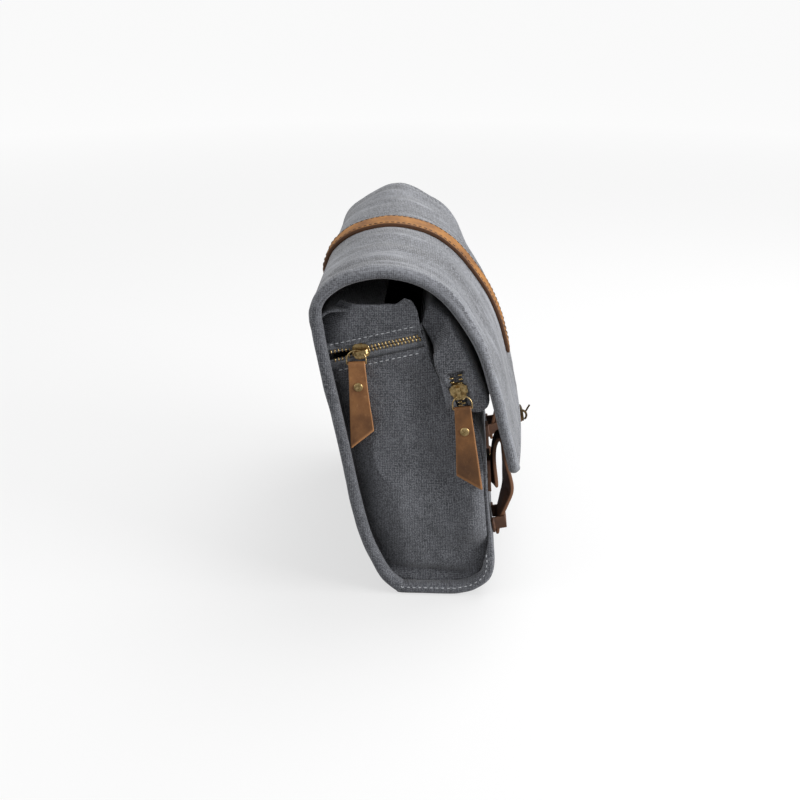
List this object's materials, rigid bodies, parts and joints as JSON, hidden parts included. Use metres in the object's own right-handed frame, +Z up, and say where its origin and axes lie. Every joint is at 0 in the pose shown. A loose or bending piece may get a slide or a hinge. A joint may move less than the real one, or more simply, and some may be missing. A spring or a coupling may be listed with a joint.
{
  "type": "travel backpack",
  "caption": "Fold-over waxed canvas backpack with a leather-strapped flap, folded neck, zips with leather pulls and a brass hook.",
  "frame": {"origin": "centre of the flat patch of the base that the bag stands on, midway across its width", "axes": "+Z up, -Y to the front where the flap closes, +Y to the padded back, X across the bag"},
  "size_m": [0.31, 0.2026, 0.3124],
  "materials": {
    "canvas": "waxed twill canvas",
    "lining": "dark plain-weave lining",
    "foam": "closed-cell foam pad",
    "board": "stiff base board",
    "zip_tape": "woven tape",
    "antique_brass": "antiqued, worn bright on edges",
    "tan_leather": "oiled pull-up leather",
    "dark_leather": "oiled dark brown leather"
  },
  "bodies": {
    "bag": {"back_foam": "foam", "back_panel": "canvas", "base_board": "board", "base_panel": "canvas", "catch_tab": "dark_leather", "front_panel": "canvas", "left_front_strap": "dark_leather", "left_gusset": "canvas", "left_strap_anchor": "dark_leather", "left_strap_keeper": "dark_leather", "left_strap_rivet": "antique_brass", "left_welt": "canvas", "right_front_strap": "dark_leather", "right_gusset": "canvas", "right_strap_anchor": "dark_leather", "right_strap_keeper": "dark_leather", "right_strap_rivet": "antique_brass", "right_welt": "canvas", "side_zip_tapes": "zip_tape", "side_zip_teeth": "antique_brass", "top_panel": "canvas"},
    "flap": {"flap_front_hem": "canvas", "flap_left_hem": "canvas", "flap_lining": "lining", "flap_panel": "canvas", "flap_right_hem": "canvas", "hook": "antique_brass", "hook_plate": "antique_brass", "hook_tail": "dark_leather", "top_strap": "tan_leather"},
    "neck": {"left_neck_side": "canvas", "mouth_end_tape": "zip_tape", "mouth_end_teeth": "antique_brass", "mouth_side_tapes": "zip_tape", "mouth_side_teeth": "antique_brass", "neck_inner_wall": "canvas", "neck_outer_wall": "canvas", "right_neck_side": "canvas"},
    "side_slider": {"side_zip_slider": "antique_brass"},
    "side_ring": {"side_zip_ring": "antique_brass"},
    "side_pull": {"side_zip_pull": "tan_leather", "side_zip_rivet": "antique_brass"},
    "mouth_slider": {"mouth_zip_slider": "antique_brass"},
    "mouth_ring": {"mouth_zip_ring": "antique_brass"},
    "mouth_pull": {"mouth_zip_pull": "tan_leather", "mouth_zip_rivet": "antique_brass"},
    "catch_ring": {"catch_ring": "antique_brass"}
  },
  "joints": [
    {"name": "flap_hinge", "type": "hinge", "parent": "bag", "child": "flap", "pos_m": [0, 0.1097, 0.26025], "axis": [-1, 0, 0], "range_deg": [0, 180]},
    {"name": "neck_fold", "type": "hinge", "parent": "bag", "child": "neck", "pos_m": [0, 0.0128, 0.2545], "axis": [-1, 0, 0], "range_deg": [0, 126]},
    {"name": "side_zip_travel", "type": "slide", "parent": "bag", "child": "side_slider", "axis": [0, 0.9713, -0.238], "range_m": [-0.04, 0]},
    {"name": "side_ring_swing", "type": "hinge", "parent": "side_slider", "child": "side_ring", "pos_m": [-0.14595, 0.067, 0.22614], "axis": [1, 0, 0], "range_deg": [-20, 0]},
    {"name": "side_pull_lift", "type": "hinge", "parent": "side_ring", "child": "side_pull", "pos_m": [-0.14595, 0.06675, 0.22215], "axis": [0, 0.998, -0.0628], "range_deg": [0, 100]},
    {"name": "mouth_zip_travel", "type": "slide", "parent": "neck", "child": "mouth_slider", "axis": [0, 0.2341, 0.9722], "range_m": [-0.004, 0.006]},
    {"name": "mouth_ring_swing", "type": "hinge", "parent": "mouth_slider", "child": "mouth_ring", "pos_m": [-0.15235, -0.02358, 0.1891], "axis": [1, 0, 0], "range_deg": [-15, 15]},
    {"name": "mouth_pull_lift", "type": "hinge", "parent": "mouth_ring", "child": "mouth_pull", "pos_m": [-0.15235, -0.024, 0.18513], "axis": [0, 0.9945, -0.1045], "range_deg": [0, 100]},
    {"name": "catch_ring_swing", "type": "hinge", "parent": "bag", "child": "catch_ring", "pos_m": [0, -0.05391, 0.074], "axis": [-1, 0, 0], "range_deg": [0, 45]}
  ],
  "couplings": [
    {"joint": "neck_fold", "follows": "flap_hinge", "ratio": 0.7}
  ]
}
